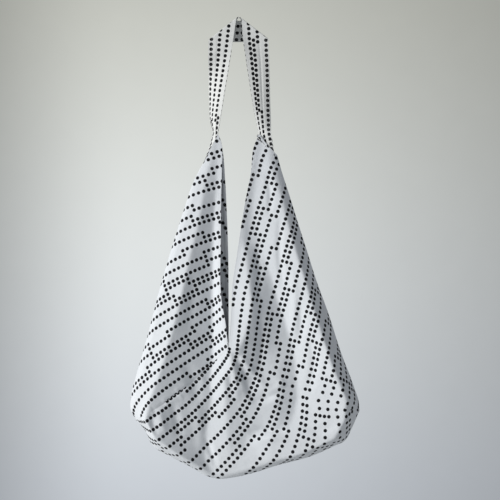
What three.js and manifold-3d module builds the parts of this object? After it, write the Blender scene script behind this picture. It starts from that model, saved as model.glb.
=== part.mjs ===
// A folded cotton shoulder bag: three lengths of one cloth strip make a left panel, a base and a
// right panel, and a flat strap joins the two peaks. Millimetres, +Z up, front towards -Y.
// The origin is the top of the strap, between its two folds, where the bag is hung or carried.

import * as THREE from 'three';
import Module from 'manifold-3d';

const wasm = await Module();
wasm.setup();

// Strap: a flat band, folded over a sloping rest on each side, its middle level behind.
const strapWidth = 60;
const strapThickness = 2.4;
const foldRadius = 6;        // half of the slot between the front halves and the middle
const foldSpacing = 13;      // between the tops of the two folds
const foldSlope = 42.5;      // degrees, slope of each fold from the level
const neckDrop = 256;        // from the top of the strap down to the line where it bends
const neckBead = 4;          // radius of the gathered cloth at the bend

// Cloth.
const clothThickness = 1.2;
const hemThickness = 1;
const hemWidth = 9;
const seamWidth = 10;        // felled seam allowance, inside
const gap = 0.3;             // between pieces that are sewn or pressed together
const peakAir = 1.2;         // between the two hems inside a folded peak

// Both halves. Reaches run along X from the middle of the strap, drops run down from the bend.
const left = {
  side: -1,
  neckReach: 45, neckWidth: 11,            // inner edge and width of the strap at the bend
  peakReach: 74, peakDrop: 61,             // lower end of the slanted seam on the peak
  cornerReach: 221, cornerDrop: 628,       // front ridge at the bottom corner
  flankReach: 238, flankDrop: 612,         // back ridge at the bottom corner
  ridgeBow: 0, flankBow: 25, hemBow: 8,    // outward bow of each edge at mid height
  heelReach: 187, heelDrop: 693,           // where the blunt corner turns into the bottom
};
const right = {
  side: 1,
  neckReach: 45, neckWidth: 26,
  peakReach: 85, peakDrop: 50,
  cornerReach: 263, cornerDrop: 615,
  flankReach: 268, flankDrop: 602,
  ridgeBow: -14, flankBow: -4, hemBow: -8,
  heelReach: 233, heelDrop: 680,
};
const mouthShift = -22;      // X of the bottom of the mouth
const mouthDrop = 475;       // from the bend down to the bottom of the mouth
const bottomShift = -47;     // X of the lowest point
const bottomDrop = 763;      // from the bend down to the lowest point

// Depths from the bend's plane to the front and to the back.
const mouthFront = 34;
const mouthBack = 26;
const cornerHalf = 10;       // half of the blunt corner's depth
const ridgeSwell = 22;       // the ridges stand off by this much more at mid height
const flankSwell = 14;
const panelFront = 12;       // the panels bulge by this much between hem and ridge
const panelBack = 8;
const rimFront = 34;         // and by this much where they meet the base
const rimBack = 24;
const rimSag = 12;           // the seams hang below their chord
const keelRound = 52;        // how far the base runs level before it turns up

const panelRows = 20;
const sheetColumns = 7;
const flankColumns = 2;
const baseRows = 9;

const bendY = -(foldRadius + strapThickness / 2);
const clothStack = clothThickness + gap + hemThickness;
const peakHalf = clothStack + peakAir / 2;

const point = (x, y, z) => new THREE.Vector3(x, y, z);
const between = (a, b, t) => a.clone().lerp(b, t);
const wave = (t) => Math.sin(Math.PI * t);

const material = (color) => new THREE.MeshStandardMaterial({ color, roughness: 0.9, metalness: 0 });

// A closed body from points and triangles that all turn the same way, faced outwards.
function closedMesh(name, vertices, triangles, colour) {
  const volume = triangles.reduce((sum, [a, b, c]) => (
    sum + vertices[a].dot(vertices[b].clone().cross(vertices[c]))), 0);
  const faces = volume < 0 ? triangles.map(([a, b, c]) => [a, c, b]) : triangles;
  const geometry = new THREE.BufferGeometry();
  const corners = vertices.flatMap((v) => v.toArray());
  geometry.setAttribute('position', new THREE.Float32BufferAttribute(corners, 3));
  geometry.setIndex(faces.flat());
  geometry.computeVertexNormals();
  const mesh = new THREE.Mesh(geometry, material(colour));
  mesh.name = name;
  return mesh;
}

// Two triangles for the quad a, b, c, d.
const quad = (a, b, c, d) => [[a, b, c], [a, c, d]];

// Strap

// A band given by straight lines across it, each with its ends, the direction through the
// cloth and half of its thickness there.
function bandSolid(name, lines, colour) {
  const vertices = lines.flatMap(({ a, b, through, half }) => [
    a.clone().addScaledVector(through, half), b.clone().addScaledVector(through, half),
    b.clone().addScaledVector(through, -half), a.clone().addScaledVector(through, -half),
  ]);
  const faces = [];
  for (let i = 0; i + 1 < lines.length; i += 1) {
    for (let k = 0; k < 4; k += 1) {
      const next = (k + 1) % 4;
      faces.push(...quad(4 * i + k, 4 * i + next, 4 * i + 4 + next, 4 * i + 4 + k));
    }
  }
  const last = 4 * (lines.length - 1);
  faces.push(...quad(3, 2, 1, 0), ...quad(last, last + 1, last + 2, last + 3));
  return closedMesh(name, vertices, faces, colour);
}

// One half of the strap, from the neck up the front and over its fold.
function strapHalf({ side, neckReach, neckWidth }) {
  const lines = [];
  const forward = point(0, 1, 0);
  const half = strapThickness / 2;
  const foldRise = strapWidth * Math.tan(THREE.MathUtils.degToRad(foldSlope));
  const along = THREE.MathUtils.degToRad(foldSlope);
  const upFold = point(side * Math.sin(along), 0, Math.cos(along));
  const inner = point(side * foldSpacing / 2, 0, 0).addScaledVector(upFold, -foldRadius - half);
  const outer = inner.clone().add(point(side * strapWidth, 0, -foldRise));

  // The gathered cloth at the bend, round about the X axis.
  const waist = Math.asin(half / neckBead);
  for (let k = 0; k <= 8; k += 1) {
    const turn = THREE.MathUtils.lerp(0.92 * Math.PI, waist, k / 8);
    const z = -neckDrop + neckBead * Math.cos(turn);
    lines.push({
      a: point(side * (neckReach + neckWidth), bendY, z), b: point(side * neckReach, bendY, z),
      through: forward, half: neckBead * Math.sin(turn),
    });
  }
  // The band widens up the front, while the lines across it tilt to the slope of the fold.
  const steps = 12;
  const low = lines.at(-1);
  for (let k = 1; k <= steps; k += 1) {
    const t = k / steps;
    const a = between(low.a, point(outer.x, bendY, outer.z), t);
    const b = between(low.b, point(inner.x, bendY, inner.z), t);
    a.x = THREE.MathUtils.lerp(outer.x, low.a.x, (1 - t) ** 3);
    lines.push({ a, b, through: forward, half });
  }
  // Over the fold, round a line that slopes like it.
  for (let k = 1; k <= 8; k += 1) {
    const turn = Math.PI * k / 8;
    const out = upFold.clone().multiplyScalar(Math.sin(turn)).add(point(0, -Math.cos(turn), 0));
    lines.push({
      a: outer.clone().addScaledVector(out, foldRadius + half),
      b: inner.clone().addScaledVector(out, foldRadius + half),
      through: out.negate(), half,
    });
  }
  return { lines, inner, outer };
}

function strap(name) {
  const l = strapHalf(left);
  const r = strapHalf(right);
  // Behind, each side runs in at twice the fold's slope less a right angle, so the middle sags.
  const sag = Math.tan(THREE.MathUtils.degToRad(90 - 2 * foldSlope));
  const middle = {
    a: point(0, -bendY, l.outer.z + l.outer.x * sag),
    b: point(0, -bendY, l.inner.z + l.inner.x * sag),
    through: point(0, -1, 0), half: strapThickness / 2,
  };
  return bandSolid(name, [...l.lines, middle, ...r.lines.reverse()], 0xdfe0de);
}

// Strap ends

function toManifold(geometry) {
  const position = geometry.attributes.position;
  const keys = new Map();
  const merged = [];
  const remap = Array.from({ length: position.count }, (_, i) => {
    const p = new THREE.Vector3().fromBufferAttribute(position, i);
    const key = p.toArray().map((c) => c.toFixed(5)).join(' ');
    if (!keys.has(key)) {
      keys.set(key, merged.length / 3);
      merged.push(...p.toArray());
    }
    return keys.get(key);
  });
  const order = geometry.index ? [...geometry.index.array] : remap.map((_, i) => i);
  const triangles = [];
  for (let i = 0; i < order.length; i += 3) {
    const [a, b, c] = order.slice(i, i + 3).map((k) => remap[k]);
    if (a !== b && b !== c && c !== a) triangles.push(a, b, c);
  }
  return new wasm.Manifold(new wasm.Mesh({
    numProp: 3, vertProperties: new Float32Array(merged), triVerts: new Uint32Array(triangles),
  }));
}

// How far below the bend's axis the strap end's shoulders and the top of the peak lie.
const seatDrop = (neckBead + gap) * Math.cos(Math.PI / 6);

// A wedge of strap between the bend and the slanted cut of the peak, with a shallow seat on top
// for the gathered cloth of the bend.
function strapEnd(name, { side, neckReach, neckWidth, peakReach, peakDrop }) {
  const outline = new THREE.Shape([
    new THREE.Vector2(neckReach, -seatDrop),
    new THREE.Vector2(peakReach, -peakDrop),
    new THREE.Vector2(neckReach + neckWidth, -seatDrop),
  ].map((p) => new THREE.Vector2(side * p.x, p.y - neckDrop)));
  const wedge = new THREE.ExtrudeGeometry(outline, { depth: 2 * peakHalf, bevelEnabled: false });
  wedge.rotateX(Math.PI / 2);
  wedge.translate(0, bendY + peakHalf, 0);
  const seat = new THREE.CylinderGeometry(neckBead + gap, neckBead + gap, 3 * neckWidth, 24);
  seat.rotateZ(Math.PI / 2);
  seat.translate(side * (neckReach + neckWidth / 2), bendY, -neckDrop);
  const solid = toManifold(wedge).subtract(toManifold(seat)).getMesh();
  const vertices = [];
  for (let i = 0; i < solid.vertProperties.length; i += 3) {
    vertices.push(point(...solid.vertProperties.slice(i, i + 3)));
  }
  const faces = [];
  for (let i = 0; i < solid.triVerts.length; i += 3) faces.push([...solid.triVerts.slice(i, i + 3)]);
  return closedMesh(name, vertices, faces, 0xcfd0ce);
}

// Cloth sheets

// Where a point of an edge lies: along its chord, bowed sideways, and swelling in depth.
function edgePoint(top, end, t, bow, swell) {
  return between(top, end, t).add(point(bow * wave(t), swell * wave(t), 0));
}

// One half's panel: columns run from the front hem round the front ridge, the flank and the back
// ridge to the back hem, rows from the peak's slanted cut down to the base.
function panelGrid(half) {
  const { side } = half;
  const drop = (d) => -neckDrop - d;
  const hemTop = point(side * half.neckReach, 0, drop(seatDrop + gap));
  const cutEnd = point(side * half.peakReach, 0, drop(half.peakDrop + gap));
  const mouth = point(mouthShift, 0, drop(mouthDrop));
  const corner = point(side * half.cornerReach, 0, drop(half.cornerDrop));
  const flank = point(side * half.flankReach, 0, drop(half.flankDrop));
  const at = (p, depth) => point(p.x, bendY + depth, p.z);
  const edges = (t) => ({
    frontHem: edgePoint(at(hemTop, -peakHalf), at(mouth, -mouthFront), t, side * half.hemBow, 0),
    frontRidge: edgePoint(
      at(cutEnd, -peakHalf), at(corner, -cornerHalf), t, side * half.ridgeBow, -ridgeSwell,
    ),
    backRidge: edgePoint(at(cutEnd, peakHalf), at(flank, cornerHalf), t, side * half.flankBow, flankSwell),
    backHem: edgePoint(at(hemTop, peakHalf), at(mouth, mouthBack), t, side * half.hemBow, 0),
  });
  const sheet = (hem, ridge, t, depth, rim) => {
    const first = hemWidth / hem.distanceTo(ridge);
    const stops = [0, first];
    for (let k = 2; k <= sheetColumns; k += 1) {
      stops.push(THREE.MathUtils.lerp(first, 1, (k - 1) / (sheetColumns - 1)));
    }
    return stops.map((u) => between(hem, ridge, u).add(
      point(0, (depth * wave(t) + rim * t * t) * wave(u), -rimSag * t ** 4 * wave(u)),
    ));
  };
  const rows = [];
  for (let k = 0; k <= panelRows; k += 1) {
    const t = k / panelRows;
    const e = edges(t);
    const front = sheet(e.frontHem, e.frontRidge, t, -panelFront, -rimFront);
    const back = sheet(e.backHem, e.backRidge, t, panelBack, rimBack).reverse();
    const flanks = [];
    for (let f = 1; f < flankColumns; f += 1) {
      flanks.push(between(e.frontRidge, e.backRidge, f / flankColumns));
    }
    rows.push([...front, ...flanks, ...back]);
  }
  return rows;
}

// The base: columns run from the left corner to the right, rows from the front rim under the
// bottom to the back rim. Each column leaves the panels in their own direction.
function baseGrid(leftRows, rightRows) {
  const rim = (rows) => {
    const end = rows.at(-1);
    const before = rows.at(-2);
    const n = end.length - 1;
    return Array.from({ length: sheetColumns + 1 }, (_, k) => ({
      front: end[k], back: end[n - k],
      frontRun: end[k].clone().sub(before[k]).normalize(),
      backRun: end[n - k].clone().sub(before[n - k]).normalize(),
    }));
  };
  const l = rim(leftRows).reverse();
  const r = rim(rightRows);
  const mid = l.at(-1);
  mid.frontRun.add(r[0].frontRun).normalize();
  mid.backRun.add(r[0].backRun).normalize();
  const columns = [...l, ...r.slice(1)];
  const keelEnd = ({ front, back }) => between(front, back, 0.5);
  const heel = (h) => point(h.side * h.heelReach, bendY, -neckDrop - h.heelDrop);
  const keel = new THREE.CatmullRomCurve3([
    keelEnd(columns[0]), heel(left), point(bottomShift, bendY, -neckDrop - bottomDrop),
    heel(right), keelEnd(columns.at(-1)),
  ], false, 'catmullrom', 0.3);
  const walked = [0];
  for (let k = 1; k < columns.length; k += 1) {
    walked.push(walked.at(-1) + columns[k].front.distanceTo(columns[k - 1].front));
  }
  return columns.map((c, k) => {
    const low = keel.getPointAt(walked[k] / walked.at(-1));
    const column = [];
    for (const [from, run, way] of [[c.front, c.frontRun, 1], [c.back, c.backRun, -1]]) {
      const reach = from.distanceTo(low);
      const atCorner = k === 0 || k === columns.length - 1;
      const ease = atCorner ? 0 : Math.min(1, reach / (4 * keelRound));
      const curve = new THREE.CubicBezierCurve3(
        from, from.clone().addScaledVector(run, 0.35 * reach * ease),
        low.clone().add(point(0, -way * keelRound * ease, 0)), low,
      );
      const seam = Math.min(seamWidth / reach, 1 / baseRows);
      const stops = [0];
      for (let m = 1; m <= baseRows; m += 1) {
        stops.push(THREE.MathUtils.lerp(seam, 1, (m - 1) / (baseRows - 1)));
      }
      const points = stops.map((t) => curve.getPoint(t));
      column.push(...(way > 0 ? points : points.reverse().slice(1)));
    }
    return column;
  });
}

// Outward directions at every point of several sheets, shared where the sheets meet.
function outwardAt(grids) {
  const sums = new Map();
  const key = (p) => p.toArray().map((c) => c.toFixed(4)).join(' ');
  const add = (p, n) => sums.set(key(p), (sums.get(key(p)) ?? point(0, 0, 0)).add(n));
  for (const { rows, flip } of grids) {
    for (let i = 0; i + 1 < rows.length; i += 1) {
      for (let j = 0; j + 1 < rows[i].length; j += 1) {
        const corners = [rows[i][j], rows[i + 1][j], rows[i + 1][j + 1], rows[i][j + 1]];
        const normal = corners[2].clone().sub(corners[0]).cross(corners[3].clone().sub(corners[1]));
        if (flip) normal.negate();
        corners.forEach((p) => add(p, normal));
      }
    }
  }
  return (p) => sums.get(key(p)).clone().normalize();
}

// A closed sheet between two depths below a grid's outer face. Borders named in trims are drawn
// back along the cloth by that much. With straightEnds, the first and last rows lie along a
// neighbour's flank, whose directions turn evenly from each ridge to the middle of the flank.
function sheetSolid(name, rows, outward, from, to, trims, colour) {
  const n = rows.length;
  const m = rows[0].length;
  const normals = rows.map((row) => row.map(outward));
  if (trims.straightEnds) {
    const half = (m - 1) / 2;
    for (const row of [normals[0], normals[n - 1]]) {
      const [first, middle, last] = [row[0], row[half], row[m - 1]].map((v) => v.clone());
      row.forEach((normal, j) => (j < half
        ? normal.lerpVectors(first, middle, j / half)
        : normal.lerpVectors(middle, last, j / half - 1)).normalize());
    }
  }
  const drawn = rows.map((row) => row.map((p) => p.clone()));
  const pull = (p, target, by) => p.add(target.clone().sub(p).setLength(by));
  const within = (k, count) => THREE.MathUtils.clamp(k, 1, count - 2);
  for (let j = 0; j < m; j += 1) {
    if (trims.top) pull(drawn[0][j], rows[1][m > 2 ? within(j, m) : j], trims.top);
    if (trims.bottom) pull(drawn[n - 1][j], rows[n - 2][m > 2 ? within(j, m) : j], trims.bottom);
  }
  for (let i = 0; i < n; i += 1) {
    if (trims.start) pull(drawn[i][0], rows[within(i, n)][1], trims.start);
    if (trims.end) pull(drawn[i][m - 1], rows[within(i, n)][m - 2], trims.end);
  }
  const layer = (depth) => drawn.flatMap((row, i) => row.map(
    (p, j) => p.clone().addScaledVector(normals[i][j], -depth),
  ));
  const vertices = [...layer(from), ...layer(to)];
  const at = (i, j, inside) => i * m + j + (inside ? n * m : 0);
  const faces = [];
  for (let i = 0; i + 1 < n; i += 1) {
    for (let j = 0; j + 1 < m; j += 1) {
      faces.push(...quad(at(i, j), at(i + 1, j), at(i + 1, j + 1), at(i, j + 1)));
      faces.push(...quad(at(i, j, 1), at(i, j + 1, 1), at(i + 1, j + 1, 1), at(i + 1, j, 1)));
    }
  }
  for (let j = 0; j + 1 < m; j += 1) {
    faces.push(...quad(at(0, j), at(0, j + 1), at(0, j + 1, 1), at(0, j, 1)));
    faces.push(...quad(at(n - 1, j + 1), at(n - 1, j), at(n - 1, j, 1), at(n - 1, j + 1, 1)));
  }
  for (let i = 0; i + 1 < n; i += 1) {
    faces.push(...quad(at(i + 1, 0), at(i, 0), at(i, 0, 1), at(i + 1, 0, 1)));
    faces.push(...quad(at(i, m - 1), at(i + 1, m - 1), at(i + 1, m - 1, 1), at(i, m - 1, 1)));
  }
  return closedMesh(name, vertices, faces, colour);
}

const leftRows = panelGrid(left);
const rightRows = panelGrid(right);
const baseColumns = baseGrid(leftRows, rightRows);
const outward = outwardAt([
  { rows: leftRows, flip: true }, { rows: rightRows, flip: false }, { rows: baseColumns, flip: true },
]);

const clothColour = 0xe6e7e6;
const foldedColour = 0xc4c6c6;
const inside = clothThickness + gap;

function panel(name, rows) {
  return sheetSolid(name, rows, outward, 0, clothThickness, { top: gap, bottom: gap / 2 }, clothColour);
}

// A turned hem lies against the inside of its panel, along one edge of the mouth.
function hem(name, rows, first) {
  const strip = rows.slice(0, -1).map((row) => (first ? row.slice(0, 2) : row.slice(-2)));
  return sheetSolid(name, strip, outward, inside, inside + hemThickness, { top: gap }, foldedColour);
}

// A felled allowance lies against the inside of the base, along one seam.
function seam(name, columns, first) {
  const strip = columns.map((column) => (first ? column.slice(0, 2) : column.slice(-2)));
  return sheetSolid(name, strip, outward, inside, inside + hemThickness, {}, foldedColour);
}

const group = new THREE.Group();
group.add(
  strap('strap'),
  strapEnd('strap_end_left', left),
  strapEnd('strap_end_right', right),
  panel('left_panel', leftRows),
  panel('right_panel', rightRows),
  sheetSolid('base_panel', baseColumns, outward, 0, clothThickness,
    { top: 2 * gap, bottom: 2 * gap, start: gap / 2, end: gap / 2, straightEnds: true }, clothColour),
  hem('hem_left_front', leftRows, true),
  hem('hem_left_back', leftRows, false),
  hem('hem_right_front', rightRows, true),
  hem('hem_right_back', rightRows, false),
  seam('seam_left', baseColumns.slice(2, sheetColumns), true),
  seam('seam_right', baseColumns.slice(sheetColumns + 1, -2), false),
);

export default group;
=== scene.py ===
# %% [markdown]
# # A folded cotton shoulder bag, hung by its strap
# The bag is cut from one long strip of cotton, printed with broken rows of dots. The strip is
# folded in three: the left third and the right third each wrap round one side of the bag, and the
# middle third makes the bottom. Two peaks rise from the sides, and a flat strap joins them.
# The frame below is the same object as plain solids. Everything here is made in its coordinates.

# %% Frame and measures
import bpy
import numpy as np
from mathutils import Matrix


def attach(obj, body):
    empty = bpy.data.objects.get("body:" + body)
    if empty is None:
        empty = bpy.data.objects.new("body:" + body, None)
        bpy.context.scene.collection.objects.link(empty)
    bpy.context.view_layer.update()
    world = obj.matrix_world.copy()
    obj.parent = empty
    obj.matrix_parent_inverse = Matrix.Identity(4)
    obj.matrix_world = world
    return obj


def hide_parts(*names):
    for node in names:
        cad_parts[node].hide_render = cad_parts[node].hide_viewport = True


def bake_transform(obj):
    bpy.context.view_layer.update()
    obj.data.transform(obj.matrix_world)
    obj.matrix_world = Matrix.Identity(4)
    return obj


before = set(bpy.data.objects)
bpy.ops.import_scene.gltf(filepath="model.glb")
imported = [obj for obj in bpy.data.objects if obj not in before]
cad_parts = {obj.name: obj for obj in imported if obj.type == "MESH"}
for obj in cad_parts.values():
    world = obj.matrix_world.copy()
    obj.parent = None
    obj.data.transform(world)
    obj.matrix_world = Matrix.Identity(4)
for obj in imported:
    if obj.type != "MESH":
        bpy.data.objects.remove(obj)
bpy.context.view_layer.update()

MM = 0.001                  # the work is done in millimetres, Blender counts in metres
BEND = -7.2                 # depth of the strap's front halves and of the line where it bends
CLOTH = 0.8                 # thickness of one layer of cotton

# %% [markdown]
# ## The camera
# The bag is seen square on, from about two and a half metres, so its near folds look only a
# little larger than its edges. `seen` places a point so that the camera sees it at a given place of
# the strap's plane whatever its depth, which keeps each outline where it was measured.

# %% Camera
VIEW = np.array([25.3, -514.8])     # what the picture's middle shows, across and up
REACH = 2500.0                      # from the camera to the strap's plane
WIDTH = 1100.0                      # how much of that plane the picture spans


def seen(across, up, forward):
    """Points that look as if they lay at (across, up) on the strap's plane, but stand `forward`
    of it: both are drawn towards the middle of the view by forward over the camera's distance."""
    near = 1 - forward / REACH
    return np.stack([VIEW[0] + (across - VIEW[0]) * near, BEND - forward,
                     VIEW[1] + (up - VIEW[1]) * near], -1)


lens = bpy.data.cameras.new("camera")
lens.lens = lens.sensor_width * REACH / WIDTH
lens.clip_start = 0.05
camera = bpy.data.objects.new("camera", lens)
camera.location = (VIEW[0] * MM, (BEND - REACH) * MM, VIEW[1] * MM)
camera.rotation_euler = (np.pi / 2, 0, 0)
bpy.context.collection.objects.link(camera)
bpy.context.scene.camera = camera
bpy.context.scene.view_settings.view_transform = "Standard"
print("camera:", tuple(round(c, 3) for c in camera.location), "lens", round(lens.lens, 1))

# %% [markdown]
# ## Node trees written as sums
# A finish is mostly arithmetic on where a point lies in the cloth. Wiring Math nodes by hand hides
# that, so a small class wraps a socket: adding or comparing two of them adds the nodes. Every
# other node comes from one method of the finish.

# %% Node maths
class Wire:
    """A value that changes over a surface. Operators on it add Math nodes to its finish."""

    def __init__(self, finish, socket):
        self.finish, self.socket = finish, socket

    def maths(self, operation, first, second=0.0):
        return self.finish.node("ShaderNodeMath", {"operation": operation}, {0: first, 1: second})

    def __add__(self, other): return self.maths("ADD", self, other)
    def __radd__(self, other): return self.maths("ADD", other, self)
    def __sub__(self, other): return self.maths("SUBTRACT", self, other)
    def __rsub__(self, other): return self.maths("SUBTRACT", other, self)
    def __mul__(self, other): return self.maths("MULTIPLY", self, other)
    def __rmul__(self, other): return self.maths("MULTIPLY", other, self)
    def __truediv__(self, other): return self.maths("DIVIDE", self, other)
    def __rtruediv__(self, other): return self.maths("DIVIDE", other, self)
    def __pow__(self, other): return self.maths("POWER", self, other)
    def __gt__(self, other): return self.maths("GREATER_THAN", self, other)
    def __lt__(self, other): return self.maths("LESS_THAN", self, other)
    def __abs__(self): return self.maths("ABSOLUTE", self)
    def floor(self): return self.maths("FLOOR", self)
    def sine(self): return self.maths("SINE", self)
    def larger(self, other): return self.maths("MAXIMUM", self, other)
    def smaller(self, other): return self.maths("MINIMUM", self, other)
    def clipped(self): return self.larger(0.0).smaller(1.0)

    def parts(self):
        """The three numbers of a vector."""
        split = self.finish.node("ShaderNodeSeparateXYZ", {}, {"Vector": self}).socket.node
        return [Wire(self.finish, number) for number in split.outputs]


class Finish:
    """A material, or another owner of a node tree such as the sky, and that tree."""

    def __init__(self, name, owner=None):
        self.material = owner or bpy.data.materials.new(name)
        self.material.use_nodes = True
        self.tree = self.material.node_tree
        self.tree.nodes.clear()

    def node(self, kind, settings=None, sockets=None, output=0):
        """Adds a node: its settings first, then a value or a link for each named socket."""
        made = self.tree.nodes.new(kind)
        for name, value in (settings or {}).items():
            setattr(made, name, value)
        for name, value in (sockets or {}).items():
            if isinstance(value, Wire):
                self.tree.links.new(value.socket, made.inputs[name])
            else:
                made.inputs[name].default_value = value
        return Wire(self, made.outputs[output])

    def mix(self, share, first, second):
        """Colour `first` where share is 0 and `second` where it is 1."""
        return self.node("ShaderNodeMix", {"data_type": "RGBA"},
                         {"Factor": share, 6: first, 7: second}, output=2)

    def noise(self, where, scale, detail, rough=0.5):
        return self.node("ShaderNodeTexNoise", {}, {
            "Vector": where, "Scale": scale, "Detail": detail, "Roughness": rough})

    def surface(self, shader, kind="ShaderNodeOutputMaterial"):
        out = self.tree.nodes.new(kind)
        self.tree.links.new(shader.socket, out.inputs["Surface"])
        return self.material


print("node maths ready")

# %% [markdown]
# ## Backdrop, floor and light
# The bag hangs clear of everything, above a plain pale floor that ends below the picture's edge and
# keeps its shadow. What the camera sees behind it is a soft pale glow that is brightest beside the
# bag's left half and fades to the right and to the corners, as daylight from one side does. One
# large soft lamp far on the left gives the cloth its bright and its grey sides, and a weak even
# sky fills the rest.

# %% Stage
FLOOR_UP, FLOOR_HALF = -1.5, 1.9    # the floor's height and half its side, in metres
GLOW_MIDDLE = (-0.101, -0.018)      # the direction in which the glow is brightest, across and up
GLOW_LEFT, GLOW_RIGHT = 0.075, 0.202    # how far it spreads: to the left, and to the right and up

floor_finish = Finish("floor_paint")
floor_matt = floor_finish.node("ShaderNodeBsdfPrincipled", {},
                               {"Base Color": (0.78, 0.79, 0.79, 1), "Roughness": 0.9})
floor_mesh = bpy.data.meshes.new("floor")
floor_mesh.from_pydata([(x * FLOOR_HALF, y * FLOOR_HALF, FLOOR_UP)
                        for x, y in ((-1, -1), (1, -1), (1, 1), (-1, 1))], [], [(0, 1, 2, 3)])
floor_mesh.materials.append(floor_finish.surface(floor_matt))
floor = bpy.data.objects.new("floor", floor_mesh)
bpy.context.collection.objects.link(floor)

# The glow falls off as one over one plus the squared distance from its middle, where the
# distance counts less to the right than to the left. It never falls under a plain grey.
world = bpy.data.worlds.new("sky")
sky = Finish("sky", world)
ray = sky.node("ShaderNodeTexCoord")
across, _, up = ray.parts()
off = across - GLOW_MIDDLE[0]
away = off.larger(0.0) / GLOW_RIGHT + (0 - off).larger(0.0) / GLOW_LEFT
rise = (up - GLOW_MIDDLE[1]) / GLOW_RIGHT
mottle = sky.noise(ray, 55.0, 6.0)
strength = (1.0 / (1 + (away * away + rise * rise) * 0.29)).larger(0.46) + (mottle - 0.5) * 0.02
tint = sky.mix((up * 2.5 + 0.5).clipped(), (0.73, 0.775, 0.83, 1), (0.76, 0.775, 0.715, 1))
glow = sky.node("ShaderNodeBackground", {}, {"Color": tint, "Strength": strength})
fill = sky.node("ShaderNodeBackground", {}, {"Color": (0.93, 0.96, 1.0, 1), "Strength": 0.29})
direct, glossy, through = (sky.node("ShaderNodeLightPath", output=i) for i in (0, 3, 6))
shown = direct.larger(glossy).larger(through)
sky.surface(sky.node("ShaderNodeMixShader", {}, {0: shown, 1: fill, 2: glow}),
            "ShaderNodeOutputWorld")
bpy.context.scene.world = world


def lamp(name, place, target, size, power, colour):
    """A soft rectangular lamp at a place, turned to face its target."""
    light = bpy.data.lights.new(name, "AREA")
    light.shape, light.size, light.size_y = "RECTANGLE", *size
    light.energy, light.color = power, colour
    made = bpy.data.objects.new(name, light)
    away = np.subtract(place, target)
    made.location = place
    made.rotation_euler = (np.arctan2(np.hypot(away[0], away[1]), away[2]), 0,
                           np.arctan2(away[0], -away[1]))
    bpy.context.collection.objects.link(made)


lamp("window_light", (-5.4, -3.0, 0.8), (0.0, 0.0, -0.6), (2.4, 3.2), 340, (1.0, 0.99, 0.97))
print("stage:", floor.name, "and one lamp")

# %% [markdown]
# ## Printed cotton
# The cloth is white plain-woven cotton with black dots about eight millimetres across. They run in
# rows, eleven millimetres from dot to dot, and now and then a row steps sideways onto its other
# track and runs on. The pattern is worked out from two lengths that each piece keeps for every
# point: how far it lies along the rows, and how far across them. So the rows follow the cut cloth
# round its folds, which a pattern in space couldn't do. Each point also keeps three numbers that
# say how much the fitted lengths are stretched there, so that every dot stays round on the cloth.

# %% Printed cotton
PITCH = 11.0            # from dot to dot along a row
ROW = 21.0              # from row to row
DOT = 4.0               # radius of a dot
STITCH = 2.6            # length of one stitch
STITCH_INSET = 7.0      # from the sewn edge to the line of stitches
EDGE_SHADE_WIDTH = 5.0              # how far in from its edges the cloth is darkened by painted shade
YARN = 0.7              # from yarn to yarn in the weave


def coin(finish, row, block, odds):
    """0 or 1 by a fixed toss for each row and block of dots: 1 in `odds` of the cases."""
    spot = finish.node("ShaderNodeCombineXYZ", {}, {"X": row + 0.5, "Y": block + 0.5})
    toss = finish.node("ShaderNodeTexWhiteNoise", {"noise_dimensions": "2D"}, {"Vector": spot})
    return toss > 1 - odds


def dot_mask(finish, along, across, stretch, steady, odds):
    """1 on a dot: the true distance to the nearest dot centre is under the radius, and that track
    is the row's own there. A row has two tracks half a row apart, and keeps both for one dot where
    it changes over, after at least `steady` dots. The true distance squared is
    a x^2 + 2b xy + c y^2, with a, b, c from stretch."""
    row = (across / ROW).floor()
    side = across - (row + 0.5) * ROW
    track = side > 0.0
    off_track = abs(side) - ROW / 4
    start = finish.node("ShaderNodeTexWhiteNoise", {"noise_dimensions": "1D"}, {"W": row + 0.5})
    cell = (along / PITCH).floor()
    off_dot = along - (cell + 0.5) * PITCH
    shift = start * 37
    here = coin(finish, row, ((cell + shift) / steady).floor(), odds)
    after = coin(finish, row, ((cell + shift + 1.0) / steady).floor(), odds)
    own = (1 - abs(here - track)).larger(1 - abs(after - track))
    a, b, c = stretch.parts()
    off_across = off_track * (track * 2 - 1)
    distance = (a * off_dot * off_dot + 2 * b * off_dot * off_across
                + c * off_across * off_across) ** 0.5
    return ((DOT - distance) / 0.4 + 0.5).clipped() * own


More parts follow.
